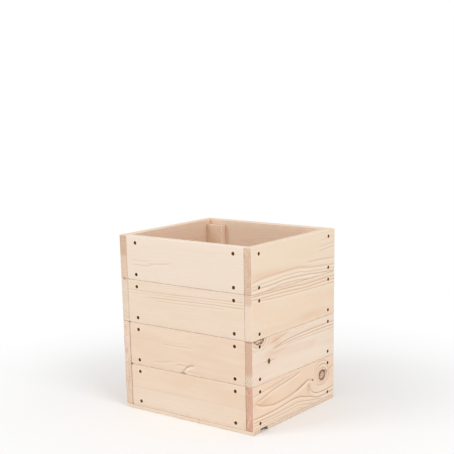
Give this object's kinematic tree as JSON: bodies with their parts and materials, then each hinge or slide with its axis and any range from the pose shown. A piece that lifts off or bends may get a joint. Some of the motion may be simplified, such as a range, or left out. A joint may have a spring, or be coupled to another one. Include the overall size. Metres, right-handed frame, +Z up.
{
  "type": "wooden box planter",
  "caption": "Square-cornered box planter of planed softwood boards screwed in courses to inner corner battens, open at the top, with a thin slotted floor.",
  "frame": {"origin": "on the ground, under the middle of the planter", "axes": "+Z up, -Y out of the front wall, which is the wall between the two side walls' end grain with the drainage slot behind it; +X to the right as seen from the front"},
  "size_m": [0.3506, 0.314, 0.3892],
  "materials": {
    "wall_pine": "planed pale softwood, bare, with fine grain and a few knots",
    "batten_pine": "planed pale softwood, bare",
    "floor_pine": "planed pale softwood, bare",
    "screw_steel": "dark coated steel, slightly worn"
  },
  "bodies": {
    "root": {"front_board_1": "wall_pine", "front_board_2": "wall_pine", "front_board_3": "wall_pine", "front_board_4": "wall_pine", "right_board_1": "wall_pine", "right_board_2": "wall_pine", "right_board_3": "wall_pine", "right_board_4": "wall_pine", "back_board_1": "wall_pine", "back_board_2": "wall_pine", "back_board_3": "wall_pine", "back_board_4": "wall_pine", "left_board_1": "wall_pine", "left_board_2": "wall_pine", "left_board_3": "wall_pine", "left_board_4": "wall_pine", "corner_batten_front_right": "batten_pine", "corner_batten_back_right": "batten_pine", "corner_batten_back_left": "batten_pine", "corner_batten_front_left": "batten_pine", "floor_slat_front": "floor_pine", "floor_board_1": "floor_pine", "floor_board_2": "floor_pine", "floor_board_3": "floor_pine", "front_screw_1_left_low": "screw_steel", "front_screw_1_left_high": "screw_steel", "front_screw_1_right_low": "screw_steel", "front_screw_1_right_high": "screw_steel", "front_screw_2_left_low": "screw_steel", "front_screw_2_left_high": "screw_steel", "front_screw_2_right_low": "screw_steel", "front_screw_2_right_high": "screw_steel", "front_screw_3_left_low": "screw_steel", "front_screw_3_left_high": "screw_steel", "front_screw_3_right_low": "screw_steel", "front_screw_3_right_high": "screw_steel", "front_screw_4_left_low": "screw_steel", "front_screw_4_left_high": "screw_steel", "front_screw_4_right_low": "screw_steel", "front_screw_4_right_high": "screw_steel", "right_screw_1_left_low": "screw_steel", "right_screw_1_left_high": "screw_steel", "right_screw_1_right_low": "screw_steel", "right_screw_1_right_high": "screw_steel", "right_screw_2_left_low": "screw_steel", "right_screw_2_left_high": "screw_steel", "right_screw_2_right_low": "screw_steel", "right_screw_2_right_high": "screw_steel", "right_screw_3_left_low": "screw_steel", "right_screw_3_left_high": "screw_steel", "right_screw_3_right_low": "screw_steel", "right_screw_3_right_high": "screw_steel", "right_screw_4_left_low": "screw_steel", "right_screw_4_left_high": "screw_steel", "right_screw_4_right_low": "screw_steel", "right_screw_4_right_high": "screw_steel"}
  },
  "joints": []
}
